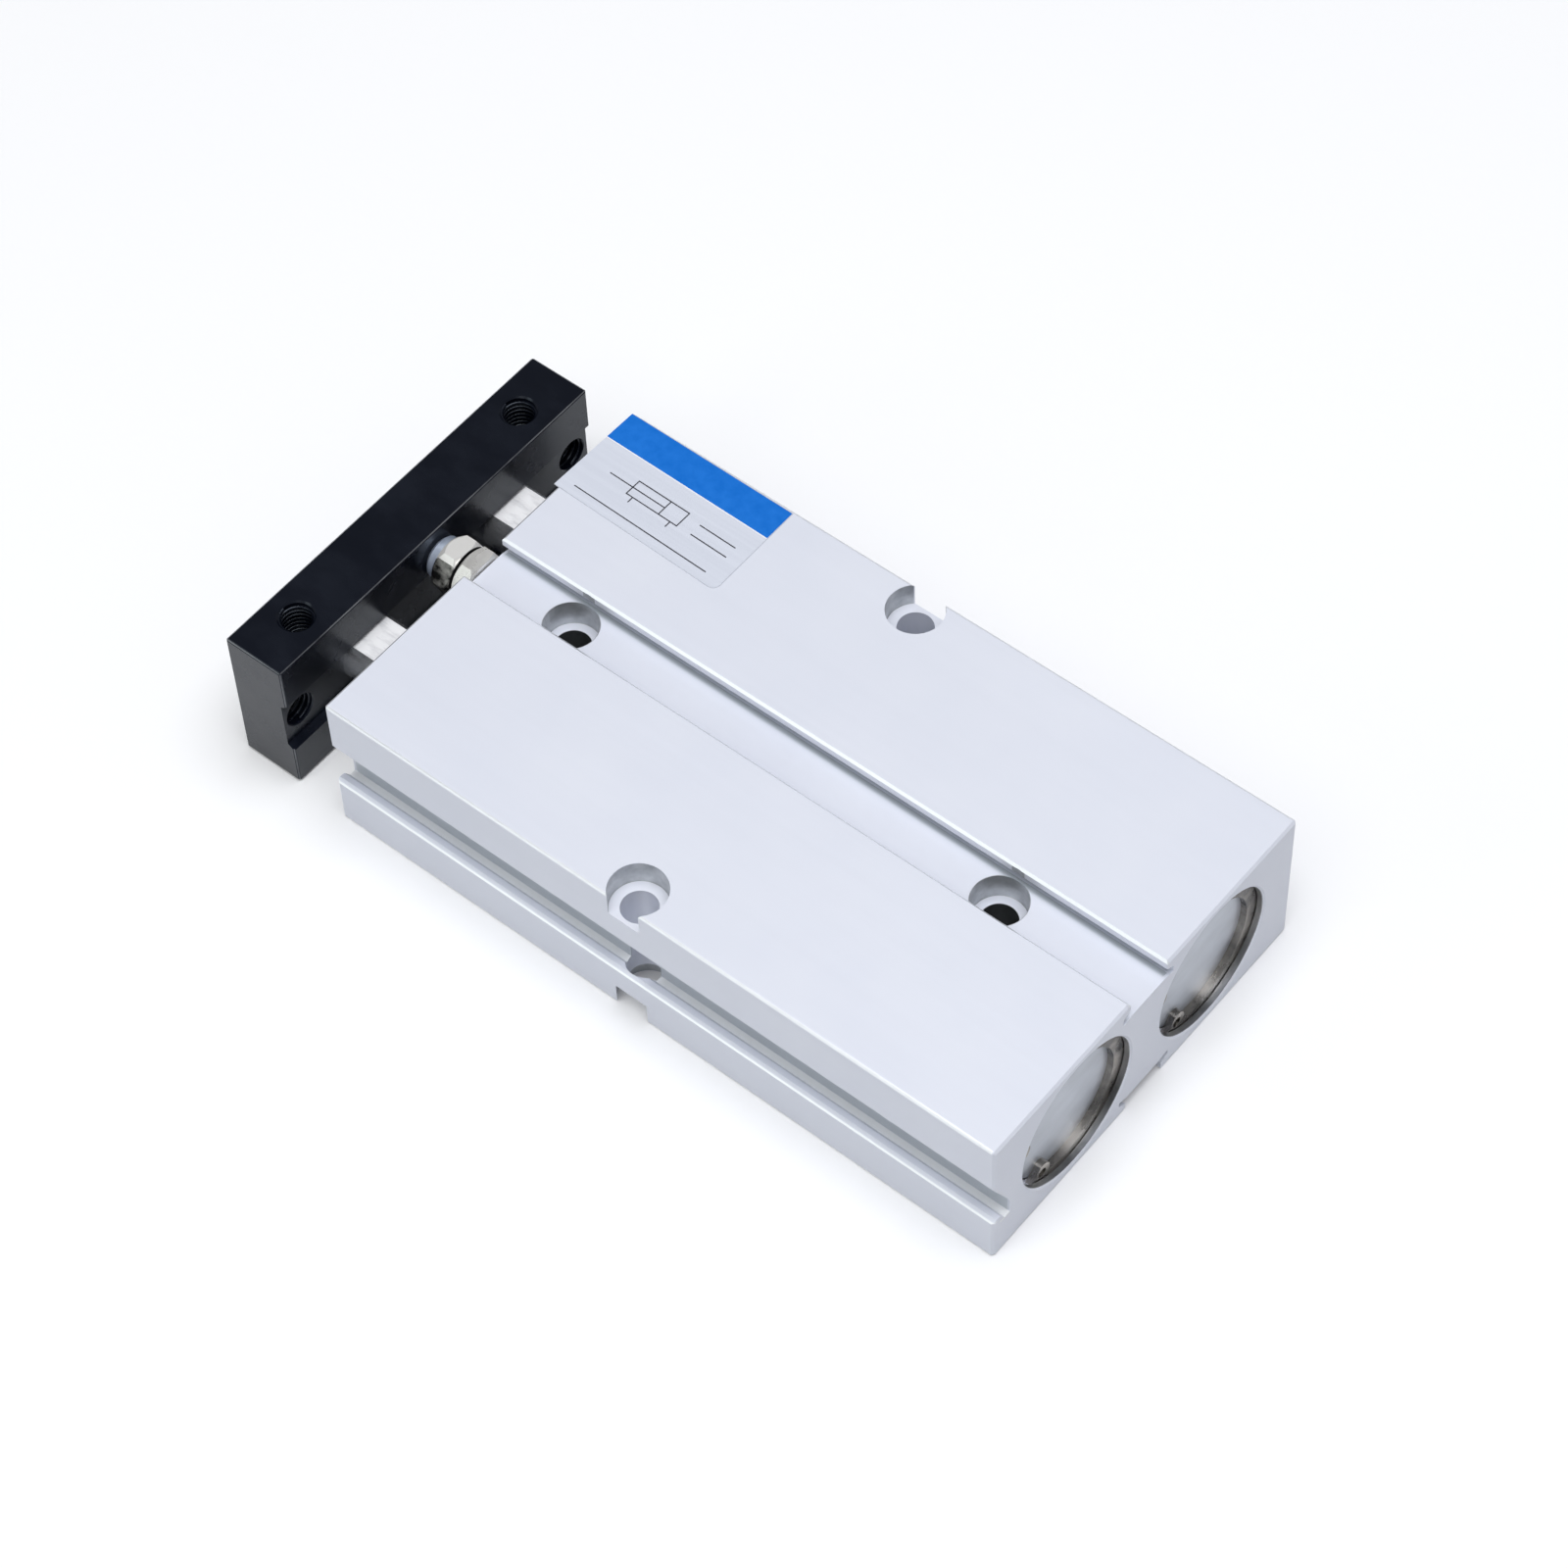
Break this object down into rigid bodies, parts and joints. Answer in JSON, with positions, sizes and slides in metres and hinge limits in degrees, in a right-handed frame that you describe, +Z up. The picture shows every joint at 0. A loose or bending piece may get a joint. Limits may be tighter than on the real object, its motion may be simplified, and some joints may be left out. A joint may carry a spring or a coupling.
{
  "type": "guided pneumatic cylinder",
  "caption": "Flat guided pneumatic cylinder with twin rods joined by a black end plate that slides out of a silver slotted body, with an adjustable stop bolt between them.",
  "frame": {"origin": "on the base plane of the body, under the middle of the cylinder's whole length with the rods in", "axes": "+X along the rods from the body to the end plate, +Y across the bores to the side with the sensor slot, +Z up out of the top face"},
  "size_m": [0.1306, 0.064, 0.0252],
  "materials": {
    "silver_anodised_aluminium": "satin anodised",
    "black_anodised_aluminium": "black anodised, glossy",
    "cover_aluminium": "matte machined",
    "piston_aluminium": "turned",
    "chromed_rod": "ground and hard chromed",
    "nickel_plated_steel": "nickel plated",
    "screw_steel": "black oxide",
    "ring_steel": "phosphated spring steel",
    "washer_zinc": "zinc plated",
    "bush_bronze": "sintered bronze",
    "seal_rubber": "moulded",
    "bumper_rubber": "moulded",
    "wear_ring_plastic": "filled PTFE",
    "magnet_compound": "bonded magnet"
  },
  "bodies": {
    "barrel": {"cylinder_body": "silver_anodised_aluminium", "rod_cover_near": "cover_aluminium", "rod_bush_near": "bush_bronze", "rod_seal_near": "seal_rubber", "rod_bumper_near": "bumper_rubber", "front_oring_near": "seal_rubber", "front_retaining_ring_near": "ring_steel", "rear_cover_near": "cover_aluminium", "rear_oring_near": "seal_rubber", "rear_retaining_ring_near": "ring_steel", "rod_cover_far": "cover_aluminium", "rod_bush_far": "bush_bronze", "rod_seal_far": "seal_rubber", "rod_bumper_far": "bumper_rubber", "front_oring_far": "seal_rubber", "front_retaining_ring_far": "ring_steel", "rear_cover_far": "cover_aluminium", "rear_oring_far": "seal_rubber", "rear_retaining_ring_far": "ring_steel"},
    "carriage": {"end_plate": "black_anodised_aluminium", "piston_rod_near": "chromed_rod", "piston_near": "piston_aluminium", "piston_wear_ring_near": "wear_ring_plastic", "piston_seal_near": "seal_rubber", "piston_rod_far": "chromed_rod", "piston_far": "piston_aluminium", "piston_wear_ring_far": "wear_ring_plastic", "piston_seal_far": "seal_rubber", "piston_magnet": "magnet_compound", "piston_screws": "screw_steel", "plate_screws": "screw_steel", "stop_bolt": "nickel_plated_steel", "stop_lock_nut": "nickel_plated_steel", "stop_washer": "washer_zinc"}
  },
  "joints": [
    {"name": "rod_slide", "type": "slide", "parent": "barrel", "child": "carriage", "axis": [1, 0, 0], "range_m": [0, 0.05]}
  ]
}
